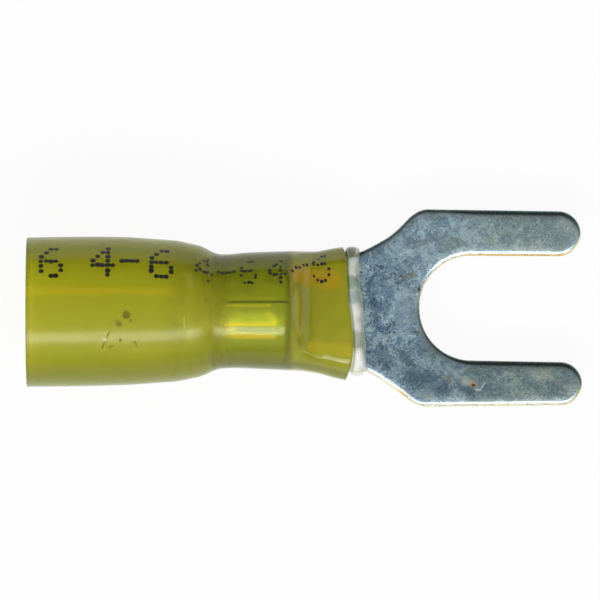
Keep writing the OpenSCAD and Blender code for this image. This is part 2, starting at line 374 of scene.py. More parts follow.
def facet_form(turns, half, tall):
    """Section of flat faces with soft corners, which the sleeve takes on over the neck, as y and z from its middle."""
    fall_near = 0.38 * half * math.tan(math.radians(12))
    fall_far = 0.65 * half * math.tan(math.radians(9))
    faces = [(0, 0.0, tall), (-12, -0.42 * half, tall), (9, 0.15 * half, tall), (-62, -0.8 * half, tall - fall_near),
             (60, 0.8 * half, tall - fall_far), (-90, -half, 0), (90, half, 0),
             (-125, -0.9 * half, -0.55 * tall), (125, 0.9 * half, -0.55 * tall), (180, 0, -tall)]

    def reach(turn):
        total = 0
        for lean, y, z in faces:
            a = math.radians(lean)
            away = math.sin(a) * y + math.cos(a) * z
            total = total + np.maximum(0, np.cos(turn - a) / away) ** facet_power
        return total ** (-1 / facet_power)

    side = half / np.where(np.sin(turns) > 0, reach(np.pi / 2), reach(-np.pi / 2))
    rise = tall / np.where(np.cos(turns) > 0, reach(0.0), reach(np.pi))
    return reach(turns) * np.sin(turns) * side, reach(turns) * np.cos(turns) * rise


def sleeve_ring(x, inner, turns):
    """Points of the sleeve's section at x, inner millimetres inside its skin; turns run from the top towards +Y."""
    v = min(max((x - pinch_x) / (mouth_x - pinch_x), 0), past_mouth)
    e = float(pinch(x))
    collar = float(half_width(min(x, pinch_x)))
    half = float(half_width(x)) - inner
    low = axis_z - collar + (mouth_low - axis_z + collar) * e + inner
    high = axis_z + collar + (mouth_high - axis_z - collar) * e - inner
    c, s = np.cos(turns), np.sin(turns)
    y, z = half * s, (high - low) / 2 * c
    if e > 0:
        flat = facet_share * float(ease((x - facet_x) / facet_run))
        flat_y, flat_z = facet_form(np.arctan2(y, z), half, (high - low) / 2)
        y, z = y + flat * (flat_y - y), z + flat * (flat_z - z)
    y, z = y + float(centre_y(x)), z + (low + high) / 2
    return np.column_stack([x + v * v * (edge_line(y) - mouth_x), y, z])


ring_count = 168
turns = np.linspace(0, 2 * math.pi, ring_count, endpoint=False)
skin_spans = [(tail_x + 0.04, -15.2, 40), (-15.2, -12.2, 46), (-12.2, -9.6, 18), (-9.6, mouth_x, 58)]
skin_x = np.unique(np.concatenate([np.linspace(*span) for span in skin_spans]))
mouth_rim = [(0.035, 0.03), (0.05, 0.1)]
tail_rim = [(0.012, 0.02), (0, 0.06)]
sleeve_rings = [(x, 0) for x in skin_x]
sleeve_rings += [(mouth_x + out, deep) for out, deep in mouth_rim]
sleeve_rings += [(mouth_x + out, sleeve_wall - deep) for out, deep in mouth_rim[::-1]]
sleeve_rings += [(x, sleeve_wall) for x in skin_x[::-1]]
sleeve_rings += [(tail_x + on, sleeve_wall - deep) for on, deep in tail_rim]
sleeve_rings += [(tail_x + on, deep) for on, deep in tail_rim[::-1]]
sleeve_points = np.vstack([sleeve_ring(x, inner, turns) for x, inner in sleeve_rings])
sleeve = make_piece("yellow_heat_shrink_sleeve", sleeve_points, grid_faces(len(sleeve_rings), ring_count, 0, True, True), 60)

# %% [markdown]
# ## Hot-melt lining and its bead
#
# The lining is a second tube inside the first. It melts when the sleeve is shrunk, fills the mouth round the flat neck, and
# swells out as a bead. One closed surface does it all: the skin under the sleeve, the bead over its front, the close fit round
# the metal, the hollow in front of the barrel, the fit on the barrel, and the open wall at the wire end.

# %% Lining and bead
liner_wall = 0.2
melt_gap = 0.02
fit_play = 0.02
bead_reach = 0.62
bead_half = 3.38
front_x = -5.57
plug_x = -7.0
free_x = -12.6
front_skew, front_bulge, bulge_y, bulge_run = 0.05, 0.13, -1.4, 1.7
drip, drip_turn, drip_run = 0.12, 262, 13
hollow_top, hollow_inset = 2.2, 0.53


def lump(y, z):
    """How far the bead's lumps swell, in millimetres."""
    return 0.035 * np.sin(2.3 * y + 1.1) + 0.025 * np.sin(5.1 * y - 2.0 * z) + 0.015 * np.sin(9.7 * y + z)


def half_metal(x):
    return neck_half + sweep_r - math.sqrt(sweep_r ** 2 - max(x - barrel_front, 0) ** 2)


def bead_front(y):
    """Where the bead's front edge lies on the metal."""
    return front_x - front_skew * y + front_bulge * np.exp(-((y - bulge_y) / bulge_run) ** 2)


def round_square(n):
    """A unit ring as sideways and up, round at n = 2 and squarer as n grows."""
    c, s = np.cos(turns), np.sin(turns)
    reach = (np.abs(c) ** n + np.abs(s) ** n) ** (-1 / n)
    return reach * s, reach * c


def bead_ring(forward, half, low, high, n):
    """Ring of the bead that stands forward of the sleeve's cut edge."""
    sideways, up = round_square(n)
    share = forward / bead_reach
    drop = drip * np.exp(-((np.degrees(turns) - drip_turn) / drip_run) ** 2) * math.sin(math.pi * min(1, share))
    y = float(centre_y(mouth_x)) * 0.4 + (half + drop) * sideways
    z = (low + high) / 2 + (high - low) / 2 * up
    swell = lump(y, z)
    x = edge_line(y) * (1 - share) + bead_front(y) * share
    return np.column_stack([x + swell * 0.8 * min(1, share * 2), y + swell * 0.2, z + swell * 0.5])


def metal_fit_ring(x, play, skew=0.0):
    """Ring that hugs the flat or bent neck at x; skew lets it run aslant as the bead's front does."""
    sideways, up = round_square(9)
    half = half_metal(x)
    y = (half + play) * np.clip(sideways, -1, 1)
    z = sheet_t / 2 + (sheet_t / 2 + play) * np.clip(up, -1, 1)
    wave = lump(y, z)
    y, z = bent(y, z, half, trough_bend(x))
    return leaned(np.column_stack([x + skew * (0.8 * wave + bead_front(y) - front_x), y, z]))


def oval_ring(x, half, low, high, n):
    sideways, up = round_square(n)
    return np.column_stack([np.full(ring_count, x), half * sideways, (low + high) / 2 + (high - low) / 2 * up])


skin_inset = sleeve_wall + melt_gap
liner_rings = [sleeve_ring(x, skin_inset, turns) for x in skin_x]
bead_first = len(liner_rings) - 1
bead_shape = [(0.08, 0.33, 0.34, 3.5), (0.12, 0.24, 0.24, 3.5), (0.18, 0.19, 0.2, 3.6), (0.28, 0.17, 0.22, 3.8),
              (0.37, 0.17, 0.3, 4.0), (0.45, 0.18, 0.46, 4.2), (0.51, 0.2, 0.72, 4.5), (0.55, 0.23, 1.05, 4.8),
              (0.58, 0.26, 1.4, 5.0), (0.605, 0.28, 1.7, 5.3), (bead_reach, 0.3, 1.95, 5.6)]
for forward, side, drop, n in bead_shape:
    liner_rings.append(bead_ring(forward, bead_half - side, mouth_low + drop * 0.45, mouth_high - drop, n))
liner_rings += [metal_fit_ring(front_x - 0.01, 4 * fit_play, 1), metal_fit_ring(front_x - 0.03, fit_play, 1)]
bead_last = len(liner_rings) - 1
liner_rings += [metal_fit_ring(x, fit_play) for x in np.linspace(front_x - 0.35, plug_x, 8)]
for u in np.linspace(0.06, 1, 10):
    x = plug_x + (barrel_front + fit_play - plug_x) * u
    e = ease(u)
    half = half_metal(x) + 0.03
    roof = sleeve_ring(x, skin_inset + 0.12, np.zeros(1))[0, 2]
    top = min(hollow_top + (axis_z + barrel_r - hollow_inset - hollow_top) * e, roof)
    half = half + (barrel_r - hollow_inset - half) * e
    liner_rings.append(leaned(oval_ring(x, half, -fit_play, top, 2.6 - 0.6 * e)))
barrel_spans = [(barrel_front - fit_play, -9.8, 8), (-10, -12.2, 10), (-12.3, -15.2, 30), (-15.4, tail_x + 0.1, 24)]
front_places, front_drops = [-back for back, _ in front_round], [drop for _, drop in front_round]
for x in np.concatenate([np.linspace(*span) for span in barrel_spans]):
    lined = float(half_width(x)) - sleeve_wall - liner_wall
    held = barrel_r + fit_play - np.interp(x - barrel_front, front_places, front_drops)
    r = max(held, lined) if x < free_x else held
    ring_here = oval_ring(x, r, axis_z - r, axis_z + r, 2)
    ring_here[:, 1] += float(centre_y(x)) if r > held + 0.1 else float(lean_low(x))
    liner_rings.append(ring_here)
liner_rings += [sleeve_ring(tail_x + 0.03, skin_inset + 0.16, turns), sleeve_ring(tail_x + 0.02, skin_inset + 0.05, turns)]
liner_points = np.vstack(liner_rings)
lining = make_piece("hot_melt_lining", liner_points, grid_faces(len(liner_rings), ring_count, 0, True, True), 70)
numbers = np.arange(len(liner_rings))
toe_rows = np.interp(numbers, [bead_last - 7, bead_last - 4, bead_last], [0, 1, 1]) * (numbers <= bead_last)
value_points(lining, "bead_toe", np.repeat(toe_rows, ring_count))

# %% [markdown]
# ## Printed dots
#
# Such sleeves carry a dot-matrix ink print of the wire size. Here it is only plain numbers, 4-6, again and again. A texture
# could hold it, but ink on plastic stands a little proud, so each dot is a tiny closed dome that sits on the skin. On the
# waist the skin has shrunk, and the dots there are smaller and closer together, as on the real one.

# %% Print
digits = {"4": ["00010", "00110", "01010", "10010", "11111", "00010", "00010"],
          "6": ["00110", "01000", "10000", "11110", "10001", "10001", "01110"],
          "-": ["00000", "00000", "00000", "11111", "00000", "00000", "00000"]}
chance = np.random.default_rng(5)


def skin_point(x, turn):
    """A point on the sleeve's skin and the way it faces."""
    here = sleeve_ring(x, 0, np.array([turn, turn + 0.01]))
    ahead = sleeve_ring(x + 0.03, 0, np.array([turn]))[0]
    face = np.cross(ahead - here[0], here[1] - here[0])
    return here[0], face / np.linalg.norm(face) * (1 if face[2] > 0 else -1)


def add_dot(points, faces, x, turn, radius, tall):
    place, up = skin_point(x, turn)
    side = np.cross(up, (1, 0, 0))
    side /= np.linalg.norm(side)
    ahead = np.cross(side, up)
    first, sides = len(points), 10
    for r, h in ((0.9, -0.02), (1, tall * 0.4), (0.8, tall * 0.9)):
        for k in range(sides):
            a = 2 * math.pi * k / sides
            points.append(place + radius * r * (math.cos(a) * ahead + math.sin(a) * side) + up * h)
    faces += grid_faces(3, sides, first, loop_columns=True)
    faces += [list(range(first, first + sides)), list(range(first + 2 * sides, first + 3 * sides))]


dot_points, dot_faces = [], []
dot_tall = 0.012
letter_step = 5.9
top_turn, row_turn = 56.5, 4.6
print_end = mouth_x - 0.35
shrunk_pitch = 0.22
wide_dots = {"missing": 0.02, "stray": 0.01, "radius": 0.14, "smallest": 0.88}
shrunk_dots = {"missing": 0.12, "stray": 0.022, "radius": 0.1, "smallest": 0.75}
print_groups = [("6", -21.7, 0.25), ("4-6", -19.1, 0.25), ("4-6", -13.9, 0.19), ("4-6", -10.2, 0.19)]
for words, start, pitch in print_groups:
    dots = shrunk_dots if pitch < shrunk_pitch else wide_dots
    for place, letter in enumerate(words):
        for row, marks in enumerate(digits[letter]):
            for column, printed in enumerate(marks):
                x = start + (place * letter_step + column) * pitch
                turn = math.radians(top_turn - row_turn * row)
                if printed == "1" and x < print_end and chance.random() > dots["missing"]:
                    wobble = chance.normal(0, dots["stray"], 2)
                    radius = dots["radius"] * chance.uniform(dots["smallest"], 1.08)
                    add_dot(dot_points, dot_faces, x + wobble[0], turn + wobble[1] * 0.5, radius, dot_tall)
sleeve_print = make_piece("sleeve_print_dots", dot_points, dot_faces, 50)

# %% [markdown]
# ## Effects that several finishes share
#
# Tin, plastic and hot melt all need the same few effects at different sizes: soft cloudy patches, fine straight scratches, and
# single marks at a known place. Each effect is a node group that puts out a mask from 0 to 1. The material decides what the
# mask does. All of them read object coordinates, so sizes are in metres and nothing slides when the camera moves.

# %% Node helpers
def group_of(name, inputs, outputs):
    tree = bpy.data.node_groups.new(name, "ShaderNodeTree")
    for label, kind, value in inputs:
        tree.interface.new_socket(label, in_out="INPUT", socket_type="NodeSocket" + kind).default_value = value
    for label, kind in outputs:
        tree.interface.new_socket(label, in_out="OUTPUT", socket_type="NodeSocket" + kind)
    return tree, tree.nodes.new("NodeGroupInput").outputs, tree.nodes.new("NodeGroupOutput").inputs


def feed(tree, socket, value):
    """Links a socket to another, or sets its own value."""
    if isinstance(value, bpy.types.NodeSocket):
        tree.links.new(value, socket)
    else:
        socket.default_value = value


def node(tree, kind, **settings):
    made = tree.nodes.new("ShaderNode" + kind)
    for key, value in settings.items():
        setattr(made, key, value)
    return made


def sums(tree, operation, *values):
    made = node(tree, "Math", operation=operation)
    for socket, value in zip(made.inputs, values):
        feed(tree, socket, value)
    return made.outputs[0]


def times(tree, one, two):
    return sums(tree, "MULTIPLY", one, two)


def vectors(tree, operation, *values, out=0):
    made = node(tree, "VectorMath", operation=operation)
    for socket, value in zip(made.inputs, values):
        feed(tree, socket, value)
    return made.outputs[out]


def between(tree, value, low, high, to_low=0.0, to_high=1.0):
    made = node(tree, "MapRange", interpolation_type="SMOOTHSTEP")
    for label, v in (("Value", value), ("From Min", low), ("From Max", high), ("To Min", to_low), ("To Max", to_high)):
        feed(tree, made.inputs[label], v)
    return made.outputs["Result"]


def band(tree, value, rise, full, fall, end):
    """1 from full to fall, and 0 before rise and after end."""
    return times(tree, between(tree, value, rise, full), between(tree, value, fall, end, 1.0, 0.0))


def axes(tree, output="Object"):
    """X, Y and Z of a place on the object, or of the way that its surface faces."""
    split = node(tree, "SeparateXYZ")
    tree.links.new(node(tree, "TexCoord").outputs[output], split.inputs[0])
    return split.outputs


# %% Clouds, scratches and marks
clouds, given, result = group_of(
    "clouds", [("Scale", "Float", 1000.0), ("Stretch", "Vector", (1.0, 1.0, 1.0)), ("Shift", "Float", 0.0),
               ("Detail", "Float", 4.0), ("Swirl", "Float", 0.0), ("Low", "Float", 0.4), ("High", "Float", 0.6)],
    [("Mask", "Float")])
spread = vectors(clouds, "MULTIPLY", node(clouds, "TexCoord").outputs["Object"], given["Stretch"])
moved = vectors(clouds, "ADD", spread, given["Shift"])
noise = node(clouds, "TexNoise")
for label in ("Scale", "Detail"):
    clouds.links.new(given[label], noise.inputs[label])
clouds.links.new(moved, noise.inputs["Vector"])
clouds.links.new(given["Swirl"], noise.inputs["Distortion"])
noise.inputs["Roughness"].default_value = 0.6
clouds.links.new(between(clouds, noise.outputs["Fac"], given["Low"], given["High"]), result["Mask"])

scratches, given, result = group_of(
    "scratches", [("Scale", "Float", 1500.0), ("Angle", "Float", 0.3), ("Width", "Float", 0.01), ("Cover", "Float", 0.5)],
    [("Mask", "Float")])
turned = node(scratches, "VectorRotate", rotation_type="Z_AXIS")
scratches.links.new(node(scratches, "TexCoord").outputs["Object"], turned.inputs["Vector"])
scratches.links.new(given["Angle"], turned.inputs["Angle"])
lines = node(scratches, "TexNoise")
lines.inputs["Detail"].default_value = 1.0
scratches.links.new(given["Scale"], lines.inputs["Scale"])
scratches.links.new(vectors(scratches, "MULTIPLY", turned.outputs[0], (0.06, 1.0, 1.0)), lines.inputs["Vector"])
off_line = sums(scratches, "ABSOLUTE", sums(scratches, "SUBTRACT", lines.outputs["Fac"], 0.5))
thin = between(scratches, off_line, 0.0, given["Width"], 1.0, 0.0)
patches = node(scratches, "TexNoise")
patches.inputs["Scale"].default_value = 500.0
scratches.links.new(turned.outputs[0], patches.inputs["Vector"])
kept = between(scratches, patches.outputs["Fac"], given["Cover"], sums(scratches, "ADD", given["Cover"], 0.08))
scratches.links.new(times(scratches, thin, kept), result["Mask"])

mark, given, result = group_of(
    "mark", [("Start", "Vector", (0.0, 0.0, 0.0)), ("End", "Vector", (0.0, 0.0, 0.0)), ("Core", "Float", 0.0001),
             ("Fade", "Float", 0.0001), ("Ragged", "Float", 0.0)],
    [("Mask", "Float")])
rough = node(mark, "TexNoise")
rough.inputs["Scale"].default_value = 9000.0
here = node(mark, "TexCoord").outputs["Object"]
mark.links.new(here, rough.inputs["Vector"])
to_here = vectors(mark, "SUBTRACT", here, given["Start"])
run = vectors(mark, "SUBTRACT", given["End"], given["Start"])
run_squared = sums(mark, "ADD", vectors(mark, "DOT_PRODUCT", run, run, out=1), 1e-12)
share = sums(mark, "DIVIDE", vectors(mark, "DOT_PRODUCT", to_here, run, out=1), run_squared)
share = sums(mark, "MINIMUM", sums(mark, "MAXIMUM", share, 0.0), 1.0)
scaled = node(mark, "VectorMath", operation="SCALE")
mark.links.new(run, scaled.inputs[0])
mark.links.new(share, scaled.inputs["Scale"])
away = vectors(mark, "LENGTH", vectors(mark, "SUBTRACT", to_here, scaled.outputs[0]), out=1)
ragged = times(mark, sums(mark, "SUBTRACT", rough.outputs["Fac"], 0.5), given["Ragged"])
away = sums(mark, "ADD", away, ragged)
rim = sums(mark, "ADD", given["Core"], given["Fade"])
mark.links.new(between(mark, away, given["Core"], rim, 1.0, 0.0), result["Mask"])
print("node groups:", [g.name for g in bpy.data.node_groups])

# %% [markdown]
# ## Finishes
#
# Colours are given as sRGB from 0 to 255, and turned into the linear values that shaders use. A material starts from
# one Principled shader. Helpers stack colours by mask, so each finish reads as a list of layers. Marks are given by the
# pixels of the photograph between which they run.

# %% Finish helpers
def paint(r, g, b):
    linear = [c / 12.92 if c <= 0.04045 else ((c + 0.055) / 1.055) ** 2.4 for c in (r / 255, g / 255, b / 255)]
    return (*linear, 1.0)


def finish(name):
    material = bpy.data.materials.new(name)
    material.use_nodes = True
    return material, material.node_tree, material.node_tree.nodes["Principled BSDF"].inputs


def effect(tree, group, **values):
    made = node(tree, "Group", node_tree=group)
    for label, value in values.items():
        feed(tree, made.inputs[label], value)
    return made.outputs["Mask"]


def layer(tree, under, over, mask, strength=1.0, blend="MIX"):
    made = node(tree, "Mix", data_type="RGBA", blend_type=blend)
    feed(tree, made.inputs[0], times(tree, mask, strength) if strength != 1.0 else mask)
    feed(tree, made.inputs[6], under)
    feed(tree, made.inputs[7], over)
    return made.outputs[2]


def bump(tree, shader, height, strength, distance):
    made = node(tree, "Bump")
    made.inputs["Strength"].default_value = strength
    made.inputs["Distance"].default_value = distance
    tree.links.new(height, made.inputs["Height"])
    tree.links.new(made.outputs["Normal"], shader["Normal"])


origin_px, origin_py = 472, 308.2
upper_turns = np.linspace(-1.5, 1.5, 121)


def at(px, py, z=sheet_t):
    """A place on the part, in metres, from a pixel of the photograph and a height in millimetres."""
    return ((px - origin_px) / px_per_mm * MM, (origin_py - py) / px_per_mm * MM, z * MM)


def on_skin(px, py):
    """A place on the sleeve's upper skin, from a pixel of the photograph."""
    x, y, _ = at(px, py)
    upper = sleeve_ring(x / MM, 0, upper_turns)
    return at(px, py, float(np.interp(y / MM, upper[:, 1], upper[:, 2])))


def on_barrel(px, py):
    """A place on the barrel's upper side, from a pixel of the photograph."""
    x, y, _ = at(px, py)
    off = y / MM - float(lean_low(x / MM))
    return at(px, py, axis_z + math.sqrt(max(barrel_r ** 2 - off ** 2, 0)))


def layers(tree, colour, rows):
    """Lays colours over a colour. Each row: sRGB colour, mask, strength."""
    for shade, mask, strength in rows:
        colour = layer(tree, colour, paint(*shade), mask, strength)
    return colour


def spot(tree, where, start, end, core, fade, ragged):
    """Mask of one mark that runs between two pixels of the photograph; its sizes are in micrometres."""
    return effect(tree, mark, Start=where(*start), End=where(*end), Core=core * UM, Fade=fade * UM, Ragged=ragged * UM)


def stain(tree, colour, table, where):
    """Lays marks over a colour. Each row: sRGB colour, strength, start, end, then core, fade and raggedness."""
    return layers(tree, colour, [(shade, spot(tree, where, *form), strength) for shade, strength, *form in table])


def put(piece, *materials):
    for material in materials:
        piece.data.materials.append(material)


# %% Tin plate
tin, tree, shader = finish("mottled_tin_plate")
place, facing = axes(tree), axes(tree, "Normal")
blotches = effect(tree, clouds, Scale=800.0, Detail=5.0, Swirl=0.7, Low=0.45, High=0.57)
strayed = sums(tree, "MULTIPLY_ADD", blotches, 0.003, place["X"])
toward_tips = between(tree, strayed, -0.0022, 0.0026)
speckled = between(tree, place["X"], -0.005, -0.001, 1.0, 0.5)
blue_clouds = effect(tree, clouds, Scale=1300.0, Detail=6.0, Shift=0.3, Swirl=1.0, Low=0.51, High=0.59)
strokes = effect(tree, clouds, Scale=2400.0, Detail=4.0, Shift=0.5, Swirl=2.4, Low=0.5, High=0.58)
grain = effect(tree, clouds, Scale=5000.0, Detail=3.0, Shift=0.7, Swirl=1.6, Low=0.42, High=0.6)
pits = effect(tree, clouds, Scale=3300.0, Detail=2.0, Shift=1.1, Swirl=2.0, Low=0.56, High=0.64)
flecks = effect(tree, clouds, Scale=4300.0, Detail=2.0, Shift=1.7, Swirl=1.6, Low=0.6, High=0.67)
colour = layer(tree, paint(178, 207, 217), paint(180, 197, 184), toward_tips)
tarnish = layer(tree, paint(102, 142, 170), paint(114, 136, 138), toward_tips)
colour = layer(tree, colour, tarnish, blotches, 0.7)
bluer = times(tree, blue_clouds, between(tree, toward_tips, 0.0, 1.0, 1.0, 0.4))
web_pits, web_flecks = (times(tree, mask, speckled) for mask in (pits, flecks))
colour = layers(tree, colour, [
    ((74, 112, 148), bluer, 0.65), ((204, 216, 208), strokes, 0.42), ((82, 110, 128), grain, 0.42),
    ((46, 72, 98), web_pits, 0.75), ((224, 236, 236), web_flecks, 0.75)])
web_stains = [
    ((58, 92, 122), 0.55, (370, 280), (372, 296), 100, 250, 900), ((52, 84, 118), 0.6, (374, 304), (378, 328), 100, 250, 1000),
    ((52, 84, 118), 0.55, (384, 330), (390, 327), 80, 200, 900), ((62, 92, 110), 0.5, (382, 350), (388, 364), 150, 300, 1000),
    ((58, 90, 112), 0.65, (402, 354), (410, 362), 120, 250, 900), ((78, 112, 142), 0.55, (380, 278), (388, 292), 150, 260, 800),
    ((54, 82, 104), 0.5, (412, 372), (444, 390), 120, 560, 1200),
    ((182, 204, 212), 0.35, (403, 294), (405, 324), 150, 400, 700),
    ((54, 84, 112), 0.5, (460, 386), (470, 391), 60, 300, 700)]
colour = stain(tree, colour, web_stains, at)
fine = effect(tree, scratches, Scale=3200.0, Angle=0.35, Width=0.012, Cover=0.6)
cross = effect(tree, scratches, Scale=2400.0, Angle=-0.9, Width=0.01, Cover=0.6)
near_side = between(tree, place["Y"], -0.0034, -0.0008, 1.0, 0.0)
far_side = between(tree, place["Y"], 0.0008, 0.003)
polished_and_highlit = node(tree, "Attribute", attribute_name="edge_polish_and_highlight").outputs["Fac"]
# The polish rows are lightened in colour: partly wear, partly a painted highlight.
colour = layers(tree, colour, [
    ((84, 104, 106), near_side, 0.26), ((208, 228, 232), far_side, 0.09), ((206, 220, 222), fine, 0.3),
    ((206, 220, 222), cross, 0.3), ((200, 212, 214), polished_and_highlit, 0.35)])
tin_marks = [
    ((206, 222, 220), 0.7, (399, 255), (434, 243), 8, 50, 260), ((214, 224, 210), 0.7, (400, 254.5), (402, 254), 30, 60, 200),
    ((140, 104, 84), 0.75, (400.5, 275), (405.5, 280.5), 10, 90, 420),
    ((132, 126, 84), 0.7, (409.5, 276), (413.5, 274.5), 40, 140, 420),
    ((40, 52, 50), 0.85, (420, 286.5), (418.6, 290.5), 25, 60, 250),
    ((36, 48, 46), 0.85, (418, 296.5), (418.2, 298), 30, 50, 150),
    ((228, 238, 236), 0.8, (417, 294.3), (417.4, 294.6), 30, 60, 100),
    ((22, 34, 36), 0.9, (360.8, 272), (361.2, 272.2), 30, 50, 60),
    ((206, 204, 188), 0.6, (464, 382), (468, 383), 50, 200, 420),
    ((200, 178, 152), 0.6, (472.6, 382.5), (474.4, 384.5), 50, 150, 300),
    ((150, 128, 120), 0.5, (446, 377), (449, 380), 20, 160, 420), ((178, 182, 164), 0.5, (424, 395), (431, 397), 60, 200, 500),
    ((186, 190, 172), 0.5, (536, 373), (549, 376), 120, 260, 600),
    ((108, 66, 14), 0.95, (473.5, 385.2), (473.9, 385.6), 40, 80, 80),
    ((224, 230, 232), 0.7, (475.5, 389.5), (480, 390.6), 10, 55, 120),
    ((224, 230, 232), 0.7, (480, 390.6), (484.8, 383.4), 10, 55, 120)]
colour = stain(tree, colour, tin_marks, at)
# Painted shade: surfaces that face towards +Y, away from the lamp, are darkened; on the tines the darkening starts at a
# smaller tilt than on the web.
dark_from = between(tree, place["X"], -0.0016, 0.0004, 0.3, 0.03)
dark_at = between(tree, place["X"], -0.0016, 0.0004, 0.6, 0.3)
colour = layer(tree, colour, paint(44, 60, 58), between(tree, facing["Y"], dark_from, dark_at), 0.78)
tree.links.new(colour, shader["Base Color"])
shader["Metallic"].default_value = 1.0
dull = between(tree, strokes, 0.0, 1.0, 0.38, 0.3)
tree.links.new(sums(tree, "SUBTRACT", dull, times(tree, polished_and_highlit, 0.1)), shader["Roughness"])
relief = sums(tree, "SUBTRACT", times(tree, grain, 0.5), sums(tree, "ADD", fine, cross))
bump(tree, shader, relief, 0.22, 20 * UM)

bright, tree, shader = finish("bright_tin_barrel_with_painted_reflections")
drawn = effect(tree, clouds, Scale=600.0, Stretch=(0.5, 1.0, 1.0), Detail=1.0, Low=0.3, High=0.7)
colour = layer(tree, paint(186, 206, 206), paint(196, 212, 210), drawn)
# Painted reflections: bands of pale, bluish and orange colour and a pale line along the barrel's upper side stand for
# the lamp and the room mirrored in it.
painted_reflection_bands = [
    ((255, 255, 246), 0.95, (222, 305.7), (270, 305.7), 50, 50, 40),
    ((214, 226, 222), 0.9, (234, 317.5), (272, 317.5), 190, 130, 80),
    ((158, 172, 216), 0.9, (240, 328), (276, 328), 110, 70, 60), ((188, 180, 140), 0.6, (214, 328), (236, 328), 110, 90, 60),
    ((255, 222, 176), 0.9, (226, 335), (274, 335), 80, 90, 80), ((250, 228, 196), 0.9, (222, 323.6), (272, 323.6), 50, 90, 60),
    ((250, 244, 196), 0.8, (268, 314), (275, 322), 80, 130, 40), ((206, 216, 190), 0.8, (214, 353), (278, 353), 200, 300, 100),
    ((236, 240, 214), 0.6, (218, 299), (274, 299), 40, 90, 60)]
colour = stain(tree, colour, painted_reflection_bands, on_barrel)
tree.links.new(colour, shader["Base Color"])
shader["Metallic"].default_value = 1.0
tree.links.new(between(tree, drawn, 0.0, 1.0, 0.38, 0.46), shader["Roughness"])

# %% Sheared copper edge
sheared, tree, shader = finish("sheared_copper_edge")
place, facing = axes(tree), axes(tree, "Normal")
streaks = effect(tree, clouds, Scale=5000.0, Stretch=(1.0, 1.0, 0.12), Detail=4.0, Low=0.35, High=0.65)
smear = effect(tree, clouds, Scale=2400.0, Stretch=(1.0, 1.0, 0.4), Detail=4.0, Shift=0.4, Low=0.48, High=0.66)
bare = effect(tree, clouds, Scale=800.0, Detail=3.0, Shift=0.9, Low=0.52, High=0.66)
wall = layer(tree, layer(tree, paint(206, 172, 112), paint(176, 140, 84), streaks), paint(196, 194, 176), smear, 0.6)
between_tines = between(tree, sums(tree, "ABSOLUTE", place["Y"]), 0.0027, 0.003, 1.0, 0.0)
in_slot = times(tree, between_tines, between(tree, place["X"], -0.001, 0.0008))
foot = layer(tree, paint(255, 250, 212), paint(250, 206, 122), sums(tree, "MAXIMUM", bare, in_slot), 0.8)
# Painted shade: on edges that face towards +Y, away from the lamp, the copper foot is greyed and darkened.
foot = layer(tree, foot, paint(128, 148, 142), between(tree, facing["Y"], -0.3, 0.1))
tree.links.new(layer(tree, wall, foot, between(tree, place["Z"], 0.00059, 0.00063)), shader["Base Color"])
shader["Metallic"].default_value = 1.0
tree.links.new(between(tree, streaks, 0.0, 1.0, 0.22, 0.36), shader["Roughness"])
bump(tree, shader, streaks, 0.3, 20 * UM)

# %% Yellow plastic
dye_and_painted_light, given, result = group_of("sleeve_dye_and_painted_light", [], [("Colour", "Color"), ("Roughness", "Float"), ("Height", "Float")])
place, facing = axes(dye_and_painted_light), axes(dye_and_painted_light, "Normal")
shrunk = between(dye_and_painted_light, place["X"], -0.0138, -0.0116)
haze = effect(dye_and_painted_light, clouds, Scale=260.0, Stretch=(0.6, 1.0, 1.0), Detail=3.0, Low=0.35, High=0.65)
drawn = effect(dye_and_painted_light, clouds, Scale=900.0, Stretch=(0.06, 1.0, 1.0), Detail=2.0, Shift=0.2, Low=0.3, High=0.7)
colour = layer(dye_and_painted_light, paint(209, 209, 57), paint(203, 206, 53), haze)
colour = layer(dye_and_painted_light, colour, paint(214, 206, 60), drawn, 0.3)
# Painted shade: the steep sides of the tube, behind the front, are darker and greener in colour.
sideways = between(dye_and_painted_light, sums(dye_and_painted_light, "ABSOLUTE", facing["Z"]), 0.3, 0.92, 1.0, 0.0)
behind_front = between(dye_and_painted_light, place["X"], -0.0096, -0.009, 1.0, 0.3)
colour = layer(dye_and_painted_light, colour, paint(170, 172, 16), times(dye_and_painted_light, sideways, behind_front))
